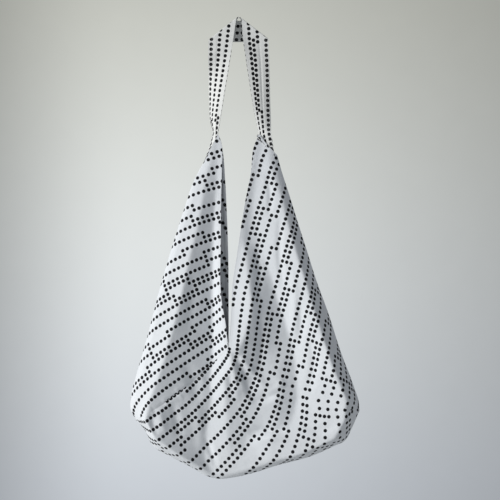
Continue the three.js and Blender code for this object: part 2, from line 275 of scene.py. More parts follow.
def cotton(name, ground, steady, odds, depth):
    """White cotton with the dot print, its weave, soft creases, painted shade along its sewn and
    hemmed edges, and stitches along sewn edges. A row keeps its track for at least `steady` dots
    and then changes it by `odds`. `depth` is how much the cloth is crumpled."""
    finish = Finish(name)
    along, across, _ = finish.node("ShaderNodeUVMap", {"uv_map": "print"}).parts()
    run, inset, _ = finish.node("ShaderNodeUVMap", {"uv_map": "sewn"}).parts()
    where = finish.node("ShaderNodeTexCoord", output=3)
    stretch = finish.node("ShaderNodeAttribute", {"attribute_name": "stretch"}, output=1)
    printed = dot_mask(finish, along, across, stretch, steady, odds)
    slub = finish.noise(where, 420.0, 1.0)
    full, low, dull = ((*[c * share for c in ground], 1) for share in (1, 0.93, 0.75))
    white = finish.mix(finish.noise(where, 14.0, 3.0), low, full)
    white = finish.mix(slub * 0.06, white, dull)
    # Painted shade: the cloth is darkened within a few millimetres of its sewn and hemmed edges,
    # where the folded edges shade it.
    painted_edge_shade = (1 - inset / EDGE_SHADE_WIDTH).clipped() * 0.12
    white = finish.mix(painted_edge_shade, white, (0.42, 0.42, 0.41, 1))
    colour = finish.mix(printed * (0.985 + slub * 0.015), white, (0.005, 0.005, 0.007, 1))

    # Stitches: dashes on a line near the sewn edge, sunk into the cloth.
    line = (1 - abs(inset - STITCH_INSET) / 0.55).clipped()
    dash = ((run / STITCH - (run / STITCH).floor()) < 0.72) * line
    colour = finish.mix(dash * 0.35, colour, (0.62, 0.63, 0.63, 1))

    warp, weft = ((length * (2 * np.pi / YARN)).sine() for length in (along, across))
    weave = warp * weft * 0.5 + slub * 0.6
    crumple = finish.noise(where, 34.0, 4.0, 0.55)
    height = weave * 0.05 + crumple * (1.6 * depth) - line * 0.35 + dash * 0.25
    rough = finish.node("ShaderNodeBump", {}, {
        "Height": height * MM, "Distance": 1.0, "Strength": 0.85})
    shader = finish.node("ShaderNodeBsdfPrincipled", {}, {
        "Base Color": colour, "Roughness": 0.92, "Normal": rough, "Specular IOR Level": 0.12,
        "Sheen Weight": 0.03, "Sheen Roughness": 0.5})
    return finish.surface(shader)


printed_cotton = cotton("printed_cotton", (0.81, 0.845, 0.885), 5.0, 0.36, 1.0)
strap_cotton = cotton("strap_cotton", (0.82, 0.835, 0.825), 7.0, 0.14, 0.6)
print("finishes:", printed_cotton.name, strap_cotton.name)

# %% [markdown]
# ## Lines and grids
# Each edge of the bag is a smooth line through a few measured points. A sheet of cloth is a grid of
# points between four such lines. The helpers here carry both as whole numpy arrays.

# %% Lines and grids
def length_along(grid, axis):
    """Distance walked from the first point along columns (axis 0) or rows (axis 1) of a grid."""
    step = np.linalg.norm(np.diff(grid, axis=axis), axis=-1)
    return np.concatenate([np.zeros_like(np.take(step, [0], axis)), np.cumsum(step, axis)], axis)


def smooth(points, count=None, at=None):
    """A smooth line through the points: cubic pieces over chord length whose slopes come from the
    neighbours, read at even steps of length or at the given shares of it."""
    p = np.asarray(points, float)
    s = length_along(p, 0)
    slope = np.gradient(p, s, axis=0)
    d = np.linspace(0, s[-1], 900)
    k = np.clip(np.searchsorted(s, d, side="right") - 1, 0, len(s) - 2)
    h = (s[k + 1] - s[k])[:, None]
    t = (d - s[k])[:, None] / h
    q = ((2 * t ** 3 - 3 * t ** 2 + 1) * p[k] + (t ** 3 - 2 * t ** 2 + t) * h * slope[k]
         + (3 * t ** 2 - 2 * t ** 3) * p[k + 1] + (t ** 3 - t ** 2) * h * slope[k + 1])
    length = length_along(q, 0)
    share = np.linspace(0, 1, count) if at is None else np.asarray(at)
    return np.stack([np.interp(share * length[-1], length, q[:, i]) for i in range(p.shape[1])], -1)


def spanned(start, end, first, last, u, t):
    """A grid between four lines: start and end run down at u 0 and 1, first and last run across at
    t 0 and 1. It is the two ruled sheets added, less the one through the four corners."""
    u, t = u[None, :, None], t[:, None, None]
    down = (1 - u) * start[:, None] + u * end[:, None]
    over = (1 - t) * first[None] + t * last[None]
    corners = ((1 - t) * ((1 - u) * first[0] + u * first[-1])
               + t * ((1 - u) * last[0] + u * last[-1]))
    return down + over - corners


def edge_spaced(steps):
    """Shares from 0 to 1 in even steps, with the last eight closing up on 1 as a square does, so
    that a sheet which turns over at its edge keeps even steps round the turn."""
    even = steps - 8
    step = 1 / (even + 4)
    near = 1 - 4 * step * (1 - np.arange(1, 9) / 8) ** 2
    return np.concatenate([np.arange(even + 1) * step, near])


def numbered(rows, columns):
    """Numbers the points of a grid, row by row."""
    return np.arange(rows * columns).reshape(rows, columns)


print("an edge-spaced row starts", np.round(edge_spaced(88)[:3], 4), "and ends",
      np.round(edge_spaced(88)[-3:], 4))

# %% [markdown]
# ## The outlines
# All places are in millimetres across and up, as seen from the front. The cloth hangs from two
# necks, the outer edges fall to two blunt corners, and the bottom edge runs between them. The
# mouth is a long narrow V.

# %% Outlines
neck_left, neck_right = (-45, -260), (45, -260)
cut_left = [neck_left, (-59, -288), (-74, -317)]
cut_right = [neck_right, (64, -284), (85, -306)]
side_left = [(-74, -317), (-97, -360), (-119, -423), (-152, -527), (-177, -613), (-199, -699),
             (-225, -790), (-235.5, -832), (-237, -866), (-225, -889)]
side_right = [(85, -306), (96, -345), (109, -385), (129, -449), (152, -521), (171, -581),
              (198, -655), (225, -739), (254, -816), (265, -852), (266, -868)]
bottom = [(-225, -889), (-208, -908), (-187, -947), (-149, -969), (-96, -997), (-69, -1012),
          (-45, -1018), (-11, -1015), (33, -1005), (80, -990), (166, -966), (210, -946),
          (233, -935), (250, -905), (266, -868)]
hem_left_front = [neck_left, (-38, -280), (-37, -337), (-38.5, -394), (-39.5, -493), (-38, -625),
                  (-29, -678), (-23, -731)]
hem_left_back = [neck_left, (-36, -295), (-30, -360), (-26.5, -430), (-23.5, -520), (-22.5, -630),
                 (-22, -736)]
hem_right_front = [neck_right, (33, -293), (29, -335), (13, -422), (-3, -527), (-12, -587),
                   (-15, -645), (-19, -700), (-23, -731)]
hem_right_back = [neck_right, (38, -293), (36, -340), (21, -430), (4, -540), (-6, -620),
                  (-14, -690), (-22, -736)]
seam_front = [(-23, -731), (-70, -775), (-118, -817), (-153, -843), (-190, -867), (-225, -889)]
fold_front = [(-23, -731), (60, -786), (150, -836), (215, -860), (266, -868)]
fold_back = [(-22, -736), (-70, -776), (-120, -818), (-170, -853), (-225, -889)]
seam_back = [(-22, -736), (60, -780), (150, -822), (215, -848), (266, -868)]
outline = np.concatenate([smooth(side_left, 160), smooth(bottom, 220)[1:],
                          smooth(side_right, 160)[::-1][1:]])
print("outline:", len(outline), "points, spans", np.ptp(outline, axis=0).round())

# %% [markdown]
# ## How far the front stands forward
# An empty bag hangs in a few long soft folds. Each is a line down the front: a ridge that comes
# forward or a valley that lies back. The table gives, at each height, where the lines lie across
# and how far forward they stand. Between the lines the cloth is nearly straight, and its ridges
# are round, so the table is turned into a fine map and that is softened.

# %% Long folds of the front
HEIGHTS = np.array([-260, -317, -361, -405, -449, -493, -537, -581, -625, -669, -713, -733, -757,
                    -801, -845, -889, -933, -977, -1021])
# Across: left edge, left ridge, valley beside the mouth, mouth left, mouth right, right fold,
# foot of that fold, small ridge, valley, right ridge, right edge.
ACROSS = np.array([
    [-56, -52, -47, -45, 43, 47, 51, 54, 56, 72, 74],
    [-74, -62, -46, -37, 31, 36, 40, 43, 45, 67, 89],
    [-97, -73, -47, -37, 25, 28, 34, 37, 40, 82, 102],
    [-113, -80, -51, -38, 16, 20, 27, 31, 34, 96, 115],
    [-128, -87, -54, -38, 8, 13, 23, 29, 34, 107, 129],
    [-141, -98, -56, -39, 1, 10, 27, 37, 45, 120, 143],
    [-155, -109, -57, -39, -5, 19, 41, 50, 58, 133, 157],
    [-168, -119, -57, -38, -11, 23, 49, 62, 74, 148, 171],
    [-180, -128, -57, -38, -14, 29, 52, 69, 85, 160, 187],
    [-191, -140, -57, -30, -16, 26, 58, 80, 100, 175, 203],
    [-203, -152, -57, -26, -20, 11, 56, 86, 115, 188, 217],
    [-209, -158, -57, -23, -22, -2, 54, 90, 120, 196, 224],
    [-216, -165, -58, -21, -17, -10, 52, 92, 124, 203, 231],
    [-228, -179, -63, -30, -6, 3, 30, 85, 127, 221, 248],
    [-236, -196, -59, -30, -6, 17, 38, 82, 129, 240, 263],
    [-224, -208, -67, -25, 3, 25, 52, 87, 118, 236, 256],
    [-197, -184, -76, -23, -1, 17, 38, 69, 94, 212, 234],
    [-133, -122, -74, -23, -6, 14, 43, 69, 102, 118, 131],
    [-52, -50, -48, -47, -45, -44, -43, -42, -41, -40, -38]], float)
# Forward of the strap's plane, for the same lines.
FORWARD = np.array([
    [3, 3.2, 3.1, 3.1, 3.1, 3.1, 3, 3, 3, 3.1, 3],
    [3, 5, 3, 5, 6, 6, 5, 5, 4.5, 8, 4],
    [4, 9, 3.5, 6.5, 7, 6.5, 5, 5, 4.5, 12, 5],
    [6, 14, 4, 8, 8, 7, 5.5, 5, 5, 17, 6],
    [7, 17, 4, 11, 10, 9, 6.5, 6, 6, 22, 8],
    [9, 21, 4, 15, 13, 13, 8, 7, 7, 28, 9],
    [10, 25, 3, 19, 16, 21, 12, 10, 9, 33, 11],
    [11, 29, 3, 23, 19, 30, 17, 12, 10, 38, 12],
    [12, 33, 4, 27, 22, 37, 22, 15, 11, 43, 13],
    [13, 37, 5, 31, 27, 42, 25, 17, 12, 46, 15],
    [14, 41, 6, 34, 33, 43, 23, 15, 11, 49, 16],
    [14, 42, 7, 34, 33, 40, 20, 14, 11, 50, 17],
    [14, 43, 9, 32, 33, 36, 18, 16, 11, 51, 18],
    [13, 45, 10, 28, 28, 28, 15, 19, 11, 50, 19],
    [12, 45, 14, 27, 24, 23, 22, 25, 13, 50, 18],
    [12, 44, 11, 24, 21, 20, 20, 23, 19, 47, 20],
    [18, 42, 8, 20, 17, 14, 18, 27, 30, 46, 22],
    [18, 33, 9, 17, 19, 21, 24, 28, 32, 34, 22],
    [8, 8, 8, 8, 8, 8, 8, 8, 8, 8, 8]], float)


def between_heights(table, up):
    """Each column of a table read at the given heights, straight between its rows."""
    return np.stack([np.interp(up, HEIGHTS[::-1], column[::-1]) for column in table.T], -1)


def softened(map_, cells):
    """A map averaged with its neighbours by a bell curve that is `cells` cells wide."""
    reach = int(3 * cells)
    bell = np.exp(-0.5 * (np.arange(-reach, reach + 1) / cells) ** 2)
    bell /= bell.sum()
    for axis in (0, 1):
        padded = np.pad(map_, [(reach, reach) if a == axis else (0, 0) for a in (0, 1)], "edge")
        map_ = sum(w * np.take(padded, range(i, i + map_.shape[axis]), axis)
                   for i, w in enumerate(bell))
    return map_


CELL = 2.0
map_up = np.arange(-1050, -240, CELL)
map_across = np.arange(-270, 300, CELL)
places, stands = between_heights(ACROSS, map_up), between_heights(FORWARD, map_up)
front_map = np.array([np.interp(map_across, x, y) for x, y in zip(places, stands)])
front_map = softened(front_map, 1.7)
print("front map:", front_map.shape, "stands forward", front_map.min().round(1), "to",
      front_map.max().round(1), "mm")

# %% [markdown]
# ## Small folds
# Between the long folds lie shorter ones: a fan below the mouth, smile-shaped sags above the
# bottom edge, and puckers along the seam. Each is a line with a height and a width, and its
# section is a bell curve that fades towards both ends.

# %% Small folds
def nearest(line, across, up):
    """For each place: its distance to a line, how far along the line the nearest point lies, as a
    share of it, and a number whose sign tells on which side of the line the place is."""
    best = np.full(across.shape, 1e9)
    share, side = np.zeros(across.shape), np.zeros(across.shape)
    for i, (a, b) in enumerate(zip(line[:-1], line[1:])):
        run = b - a
        t = np.clip(((across - a[0]) * run[0] + (up - a[1]) * run[1]) / (run @ run), 0, 1)
        away = np.hypot(across - a[0] - t * run[0], up - a[1] - t * run[1])
        near = away < best
        best = np.where(near, away, best)
        share = np.where(near, (i + t) / (len(line) - 1), share)
        side = np.where(near, (across - a[0]) * run[1] - (up - a[1]) * run[0], side)
    return best, share, side


def fold(points, height, width, wide_below=None):
    """A fold along a line, as a map: height times a bell curve of the distance to the line, times a
    sine along it that fades to nothing at both ends. wide_below is its width on the far side."""
    best, share, side = nearest(smooth(points, 24), *np.meshgrid(map_across, map_up))
    reach = np.where(side > 0, wide_below or width, width)
    return height * np.exp(-(best / reach) ** 2) * np.sin(np.pi * share) ** 0.7


small_folds = [
    # The fan below the mouth and the folds that run on from it.
    ([(-14, -735), (12, -790), (30, -845)], -6, 9),
    ([(-20, -745), (-8, -800), (-2, -850)], 4, 8),
    ([(4, -745), (36, -790), (62, -820)], 4, 9),
    ([(-24, -795), (-10, -812), (8, -806)], -5, 9),
    # Soft upright folds of the right side.
    ([(64, -350), (70, -400), (66, -440)], -2.5, 6),
    ([(92, -440), (90, -520), (98, -600)], -3, 7),
    ([(42, -500), (44, -570), (42, -640)], -4, 8),
    ([(46, -640), (50, -720), (44, -780)], -4, 8),
    ([(134, -620), (138, -680), (130, -730)], -3.5, 8),
    ([(158, -700), (166, -770), (152, -830)], -3.5, 9),
    ([(120, -560), (124, -640), (118, -700)], 3, 9),
    # Smile-shaped sags over the bottom.
    ([(94, -810), (78, -832), (52, -843), (26, -846)], -6, 8, 12),
    ([(100, -800), (84, -822), (60, -832)], 4.5, 8),
    ([(104, -912), (70, -912), (44, -912), (22, -918)], -6, 9),
    ([(110, -925), (70, -928), (30, -938)], 3.5, 10),
    ([(140, -900), (180, -912), (215, -900)], -3, 10),
    # Soft dents of the left side and puckers along the seam.
    ([(-100, -560), (-104, -640), (-112, -700)], -2.5, 12),
    ([(-120, -760), (-100, -800), (-90, -850)], -4, 13),
    ([(-172, -862), (-168, -895), (-160, -920)], 4, 9),
    ([(-192, -872), (-188, -900), (-180, -925)], -3.5, 7),
    ([(-146, -850), (-138, -885), (-128, -925)], -4, 9),
    ([(-72, -925), (-60, -960), (-48, -990)], -4, 6),
    ([(-92, -850), (-86, -900), (-80, -960)], 3, 12),
    # The front seam sinks a little, with short puckers across it.
    ([(-23, -733), (-70, -777), (-118, -819), (-153, -845), (-190, -869), (-222, -887)], -1.6, 3.2),
    *[([(x - 8, z + 12), (x, z), (x + 9, z - 14)], size, 3.6) for x, z, size in (
        (-40, -752, 1.4), (-63, -774, -1.2), (-84, -792, 1.3), (-108, -812, -1.2),
        (-131, -830, 1.5), (-160, -850, 1.3), (-186, -868, -1.2))],
    # A tack gathers the V's foot.
    ([(-40, -722), (-24, -737), (-6, -741)], 1.8, 3.4),
    ([(-44, -735), (-30, -744), (-18, -752)], -1.8, 3.2),
    ([(-16, -745), (0, -748), (16, -742)], -2.0, 3.4),
]
for line in small_folds:
    front_map = front_map + fold(*line)
print("front map with small folds:", front_map.min().round(1), "to", front_map.max().round(1))

# %% [markdown]
# ## From the map to the sheets
# At the outer edges and along the bottom the front turns over into the back. There the depth
# shrinks to nothing on a quarter of an ellipse, so that both sheets meet in a round edge.

# %% Depths of front and back
TURN = 13.0         # how far in from the outline the cloth starts to turn over


def map_at(map_, across, up):
    """The map read between its cells, straight in both directions."""
    i = np.clip((up - map_up[0]) / CELL, 0, len(map_up) - 1.001)
    j = np.clip((across - map_across[0]) / CELL, 0, len(map_across) - 1.001)
    a, b = i.astype(int), j.astype(int)
    f, g = i - a, j - b
    return ((1 - f) * ((1 - g) * map_[a, b] + g * map_[a, b + 1])
            + f * ((1 - g) * map_[a + 1, b] + g * map_[a + 1, b + 1]))


def turned(across, up):
    """0 on the outline and 1 from TURN inside it: the height of a quarter circle over the distance
    to the nearest piece of outline."""
    best, _, _ = nearest(outline, across, up)
    return np.sqrt(1 - (1 - np.minimum(best / TURN, 1)) ** 2)


def backward(across, up):
    """How far the back stands behind the strap's plane: fuller low down, with slow upright waves
    that lean outwards as the back widens."""
    full = np.interp(up, [-1021, -960, -880, -733, -600, -449, -361, -260],
                     [8, 24, 31, 29, 22, 11, 6, 3.1])
    spread = (across + 10) / np.interp(up, [-1000, -260], [250, 60])
    wave = 0.80 + 0.13 * np.cos(7.5 * spread + 0.004 * up) + 0.07 * np.cos(15 * spread - 0.012 * up)
    dents = 0.05 * np.cos(0.035 * up + 5 * spread)
    return np.maximum(full * (wave + dents), 3.1)


def hung(plan, front):
    """Places of a plan (across, up) in space, on the front or on the back of the bag."""
    x, z = plan[..., 0], plan[..., 1]
    depth = map_at(front_map, x, z) if front else -backward(x, z)
    return seen(x, z, depth * turned(x, z))


print("back stands", backward(np.array([0.0]), np.array([-800.0])).round(1), "mm behind low down")

# %% [markdown]
# ## The cloth strip
# Each side panel runs from its front hem out to the edge, round it, and back to its back hem. The
# bottom runs from the front rim down to the keel, which is the bag's lowest edge, and up to the
# back rim. The left panel and the bottom are sewn together in front and are one cloth behind. On
# the right it is the other way round. So the three thirds are one surface, with two seams in it.

# %% Three thirds of the strip
HALF = 88           # steps across one sheet, from hem to edge
ROWS = 172          # steps down a panel
u_steps = edge_spaced(HALF)
t_steps = np.linspace(0, 1, ROWS + 1)


def joined(front, back, edge):
    """Both sheets as one grid: they meet in the edge, and the back's columns lead away from it."""
    front[:, -1] = back[:, -1] = seen(*edge.T, 0 * edge[:, 0])
    return np.concatenate([front, back[:, -2::-1]], axis=1)


def panel(front_hem, back_hem, side, cut, front_rim, back_rim):
    """A side panel: the front between hem, edge, slanted cut and rim, then the back, joined at
    the edge. Columns run from the front hem to the back hem."""
    edge = smooth(side, ROWS + 1)
    sheets = [hung(spanned(smooth(hem, ROWS + 1), edge, smooth(cut, at=u_steps),
                           smooth(rim, at=u_steps), u_steps, t_steps), front)
              for hem, rim, front in ((front_hem, front_rim, True), (back_hem, back_rim, False))]
    return joined(*sheets, edge)


def bottom_third():
    """The bottom: columns run from the left corner to the right, each from the front rim straight
    down to the keel and straight up to the back rim, in plan."""
    across_left, across_right = u_steps[::-1], u_steps[1:]
    rims = [np.concatenate([smooth(left_rim, at=across_left), smooth(right_rim, at=across_right)])
            for left_rim, right_rim in ((seam_front, fold_front), (fold_back, seam_back))]
    share = np.concatenate([(1 - across_left) / 2, (1 + across_right) / 2])
    keel = smooth(bottom, at=share)
    down = u_steps[None, :, None]
    sheets = [hung(rim[:, None] * (1 - down) + keel[:, None] * down, front)
              for rim, front in zip(rims, (True, False))]
    return joined(*sheets, keel), share


left = panel(hem_left_front, hem_left_back, side_left, cut_left, seam_front, fold_back)
right = panel(hem_right_front, hem_right_back, side_right, cut_right, fold_front, seam_back)
base, base_share = bottom_third()
print("grids:", left.shape, right.shape, base.shape)

# %% [markdown]
# ## One surface, two seams
# The thirds are numbered together, with the same number on both sides of an unsewn fold. Outward
# directions and the lay of the print then run across those folds without a break.

# %% Joined numbering and outward directions
n_panel = left.shape[0] * left.shape[1]
left_ids = numbered(*left.shape[:2])
right_ids = numbered(*right.shape[:2]) + n_panel
base_ids = numbered(*base.shape[:2]) + 2 * n_panel
base_ids[:HALF + 1, -1] = left_ids[-1, HALF:]
base_ids[HALF:, 0] = right_ids[-1, :HALF + 1]
thirds = [(left, left_ids, -1.0), (right, right_ids, 1.0), (base, base_ids, -1.0)]
n_points = 2 * n_panel + base.shape[0] * base.shape[1]


def unit(v):
    return v / np.maximum(np.linalg.norm(v, axis=-1, keepdims=True), 1e-9)


def cells_facing(grid):
    """For each cell of a grid its two diagonals crossed, which is the way it faces."""
    return np.cross(grid[1:, 1:] - grid[:-1, :-1], grid[:-1, 1:] - grid[1:, :-1])


def outward_directions():
    """Each point's outward direction: the ways that the cells round it face, added up."""
    total = np.zeros((n_points, 3))
    for grid, ids, turn in thirds:
        normal = cells_facing(grid) * turn
        for part in (ids[1:, 1:], ids[:-1, :-1], ids[:-1, 1:], ids[1:, :-1]):
            for axis in range(3):
                total[:, axis] += np.bincount(part.ravel(), normal[..., axis].ravel(), n_points)
    return unit(total)


outward = outward_directions()
print("outward on the left panel's front:", outward[left_ids[100, 40]].round(2), "(towards -Y)")

# %% [markdown]
# ## How the print lies
# On the flat strip the rows run straight along it. On the bag they fan: on the left panel they lie
# across the front near the mouth and turn down the back, on the right panel they start along the
# mouth. So the way of the rows is worked out first, for every point of the three thirds.

# %% Directions of the rows
def panel_rows(grid, shares, angles, sign):
    """Row directions on a panel: the way down the cloth, turned within it towards the outer edge
    by an angle from a table: how far round the panel, at the top, half way down and at the rim."""
    down = unit(np.gradient(grid, axis=0))
    out = np.gradient(grid, axis=1)
    out = unit(out - (out * down).sum(-1, keepdims=True) * down)
    round_ = np.arange(grid.shape[1]) / HALF
    levels = np.stack([np.interp(round_, shares, row) for row in angles])
    t = np.linspace(0, 2, grid.shape[0])[:, None]
    turn = np.where(t < 1, levels[0] * (1 - t) + levels[1] * t,
                    levels[1] * (2 - t) + levels[2] * (t - 1))
    turn = np.radians(turn)[..., None]
    return np.cos(turn) * down * sign + np.sin(turn) * out


def base_rows(grid):
    """Row directions on the bottom. On the flat square, with its corners left and right, the
    distance k along the keel and m from front to back make the two sides' coordinates: one is
    2k(1-m) and the other 2km left of the mouth, and the same from the other corner right of it.
    The rows follow the first at a fixed second: half a step of k less m/2k steps of m. Here m is
    the share of the way walked over the cloth, so it runs evenly round the keel too."""
    k = base_share[:, None, None]
    walked = length_along(grid, 1)
    m = (walked / np.maximum(walked[:, -1:], 1e-6))[..., None]
    by_m = np.gradient(grid, axis=1) / np.maximum(np.gradient(m, axis=1), 1e-6)
    by_k = np.gradient(grid, base_share, axis=0) - by_m * np.gradient(m, base_share, axis=0)
    pull = np.where(k < 0.5, m / (2 * np.maximum(k, 1e-3)), (1 - m) / (2 * np.maximum(1 - k, 1e-3)))
    return unit(0.5 * by_k - pull * by_m)


rows_left = panel_rows(left, [0, 0.3, 0.6, 0.9, 1.0, 1.5, 2.0], [
    [72, 64, 56, 48, 45, 32, 18], [76, 69, 61, 53, 50, 36, 16], [62, 58, 53, 48, 46, 30, 10]], 1)
rows_right = panel_rows(right, [0, 0.5, 0.9, 1.0, 1.5, 2.0], [
    [3, 20, 36, 39, 55, 74], [0, 20, 40, 43, 57, 76], [0, 20, 40, 43, 57, 76]], -1)
rows_base = base_rows(base)
print("rows on the left front:", rows_left[90, 40].round(2), "right:", rows_right[90, 40].round(2))

# %% [markdown]
# ## Fitting the print to the cloth
# The real cloth finds its own lay, because it can't stretch. Here two lengths are fitted to every
# point, one along the rows and one across them, so that each short step over the cloth changes
# them by its own length in those directions, as nearly as all the steps allow. That is a
# least-squares fit, solved first on every fourth point and then on all.

# %% Fitting the two lengths
def steps_of(grid, ids, field, normal):
    """The steps between neighbours of a grid: both ends, and the step's length along the field
    and across it, where across is the outward direction crossed with along."""
    side = np.cross(normal[ids], field)
    pairs = []
    for a, b in (((slice(None), slice(None, -1)), (slice(None), slice(1, None))),
                 ((slice(None, -1), slice(None)), (slice(1, None), slice(None)))):
        step = grid[b] - grid[a]
        along = (step * (field[a] + field[b]) / 2).sum(-1)
        across = (step * (side[a] + side[b]) / 2).sum(-1)
        weight = 1 / (np.linalg.norm(step, axis=-1) + 0.5)
        pairs.append([v.ravel() for v in (ids[a], ids[b], along, across, weight)])
    return pairs


def fitted(pairs, count, start, rounds):
    """Values whose differences over all the steps come closest to those wanted, found by
    conjugate gradients from a first guess."""
    a, b, weight = (np.concatenate([p[i] for p in pairs]) for i in (0, 1, 4))
    result = []
    for i, guess in zip((2, 3), start):
        wanted = np.concatenate([p[i] for p in pairs])

        def spread(d):
            d = d * weight
            return np.bincount(b, d, count) - np.bincount(a, d, count)

        x = guess.copy()
        rest = spread(wanted - (x[b] - x[a]))
        way, size = rest.copy(), rest @ rest
        for _ in range(rounds):
            moved = spread(way[b] - way[a])
            share = size / max(way @ moved, 1e-20)
            x += share * way
            rest -= share * moved
            size, before = rest @ rest, size
            way = rest + size / max(before, 1e-20) * way
        result.append(x)
    return result


def finer(values, rows, columns):
    """A grid of values read at four times as many steps, straight between its points."""
    def reader(n_out, n_in):
        place = np.arange(n_out) / (n_out - 1) * (n_in - 1)
        low = np.minimum(place.astype(int), n_in - 2)
        table = np.zeros((n_out, n_in))
        table[np.arange(n_out), low] = 1 - (place - low)
        table[np.arange(n_out), low + 1] = place - low
        return table
    return reader(rows, values.shape[0]) @ values @ reader(columns, values.shape[1]).T


fields = [rows_left, rows_right, rows_base]
every, fourth = ((slice(None, None, skip),) * 2 for skip in (1, 4))


def all_steps(kept):
    """The steps of all three thirds between the kept points."""
    return [pair for (grid, ids, _), field in zip(thirds, fields)
            for pair in steps_of(grid[kept], ids[kept], field[kept], outward)]


guess = fitted(all_steps(fourth), n_points, [np.zeros(n_points)] * 2, 700)
start = []
for values in guess:
    whole = np.zeros(n_points)
    for grid, ids, _ in thirds:
        whole[ids] = finer(values[ids[fourth]], *ids.shape)
    start.append(whole)
along_rows, across_rows = fitted(all_steps(every), n_points, start, 240)
# A row lies four millimetres in from the right panel's front hem, over most of its length.
across_rows += 4.0 - across_rows[right_ids[20:150, 0]].mean()
lay = np.stack([along_rows, across_rows], -1)


def stretch_of(grid, uv):
    """How true lengths follow from steps in a lay, as the a, b, c of a x^2 + 2b xy + c y^2: with J
    the lay's change over a step on the surface, they are the inverse of J times its transpose."""
    by_u, by_t = np.gradient(grid, axis=1), np.gradient(grid, axis=0)
    lay_u, lay_t = np.gradient(uv, axis=1), np.gradient(uv, axis=0)
    long_u = np.maximum(np.linalg.norm(by_u, axis=-1, keepdims=True), 1e-6)
    first = by_u / long_u
    lean = (by_t * first).sum(-1, keepdims=True)
    long_t = np.maximum(np.linalg.norm(by_t - lean * first, axis=-1, keepdims=True), 1e-6)
    one = lay_u / long_u
    two = (lay_t - one * lean) / long_t
    xx, yy = one[..., 0] ** 2 + two[..., 0] ** 2, one[..., 1] ** 2 + two[..., 1] ** 2
    xy = one[..., 0] * one[..., 1] + two[..., 0] * two[..., 1]
    area = np.maximum(xx * yy - xy ** 2, 0.02)
    return np.clip(np.stack([yy, -xy, xx], -1) / area[..., None], -9, 9)


print("the print spans", np.ptp(along_rows).round(), "by", np.ptp(across_rows).round(), "mm")

# %% [markdown]
# ## Cloth with two faces
# A sheet becomes a closed piece: its outer face, an inner face one cloth thickness further in, and
# a narrow wall round its border. Both faces keep the outward directions worked out above, so the
# light runs smoothly over an unsewn fold between two thirds.

# %% Building a sheet
def add_piece(name, points, quads, lay_uv, sewn_uv, stretch, material, corner_normals=None):
    """Makes an object from points in millimetres, quads, and for each point its lay in the print,
    its place along the sewing and its stretch, and for each corner of a quad the way it faces."""
    mesh = bpy.data.meshes.new(name)
    mesh.from_pydata((points * MM).tolist(), [], quads.tolist())
    corners = quads.ravel()
    for label, values in (("print", lay_uv), ("sewn", sewn_uv)):
        layer = mesh.uv_layers.new(name=label)
        layer.data.foreach_set("uv", values[corners].astype(np.float32).ravel())
    kept = mesh.attributes.new("stretch", "FLOAT_VECTOR", "POINT")
    kept.data.foreach_set("vector", stretch.astype(np.float32).ravel())
    mesh.polygons.foreach_set("use_smooth", np.ones(len(quads), bool))
    mesh.materials.append(material)
    if corner_normals is not None:
        mesh.normals_split_custom_set(corner_normals.reshape(-1, 3).tolist())
    made = bpy.data.objects.new(name, mesh)
    bpy.context.collection.objects.link(made)
    return made


def quads_facing(points, quads):
    """The same for quads that are given by the numbers of their points."""
    a, b, c, d = (points[quads[:, i]] for i in range(4))
    return np.cross(c - a, d - b)


def closed_sheet(name, outer, normal, thick, lay_uv, sewn_uv, material):
    """A grid of outer points with a wall of the given thickness: inner points lie that far
    against the outward direction, and the border is closed by quads."""
    rows, columns = outer.shape[:2]
    ids = numbered(rows, columns)
    face = np.stack([ids[:-1, :-1], ids[1:, :-1], ids[1:, 1:], ids[:-1, 1:]], -1).reshape(-1, 4)
    clockwise = (cells_facing(outer) * normal[:-1, :-1]).sum() < 0
    if clockwise:
        face = face[:, ::-1]
    inner_face = face[:, ::-1] + rows * columns
    ring = np.concatenate([ids[0, :-1], ids[:-1, -1], ids[-1, :0:-1], ids[:0:-1, 0]])
    after = np.roll(ring, -1)
    wall = np.stack([ring, after, after + rows * columns, ring + rows * columns], -1)
    if clockwise:
        wall = wall[:, ::-1]
    n = normal.reshape(-1, 3)
    points = np.concatenate([outer.reshape(-1, 3), outer.reshape(-1, 3) - n * thick])
    both = np.concatenate([n, -n])
    across_wall = unit(quads_facing(points, wall))
    corner = np.concatenate([both[face], both[inner_face], np.repeat(across_wall[:, None], 4, 1)])
    quads = np.concatenate([face, inner_face, wall])
    marks = [np.tile(v.reshape(-1, v.shape[-1]), (2, 1))
             for v in (lay_uv, sewn_uv, stretch_of(outer, lay_uv))]
    return add_piece(name, points, quads, *marks, material, corner)


def sewn_lay(grid):
    """For a panel: how far along the nearest mouth edge a point is, and how far in from it."""
    down, over = length_along(grid, 0), length_along(grid, 1)
    from_back = over[:, -1:] - over
    inset = np.minimum(over, from_back)
    run = np.where(over < from_back, down[:, :1], down[:, -1:])
    return np.stack([run, inset], -1)


left_cloth, right_cloth = (
    closed_sheet(name, grid, outward[ids], CLOTH, lay[ids], sewn_lay(grid), printed_cotton)
    for name, grid, ids in (("left_cloth", left, left_ids), ("right_cloth", right, right_ids)))
trimmed = slice(1, -1)
over_base = length_along(base, 1)
on_left = np.arange(base.shape[0])[:, None] < HALF
seam_inset = np.where(on_left, over_base, over_base[:, -1:] - over_base)
base_sewn = np.stack([length_along(base, 0), seam_inset], -1)
base_cloth = closed_sheet("base_cloth", base[trimmed], outward[base_ids][trimmed], CLOTH,
                          lay[base_ids][trimmed], base_sewn[trimmed], printed_cotton)
cloths = [left_cloth, right_cloth, base_cloth]
for piece, node in zip(cloths, ("left_panel", "right_panel", "base_panel")):
    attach(piece, "bag")
    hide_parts(node)
print("cloth pieces:", [(p.name, len(p.data.polygons)) for p in cloths])

# %% [markdown]
# ## Hems and seam allowances
# The mouth is finished by a narrow hem: the cloth is rolled round its edge and lies flat inside.
# Each hem is one profile carried along its edge: a lip round the edge and a flat tape behind it.
# The two seams inside the bottom have their allowances pressed flat, as tapes without a lip.

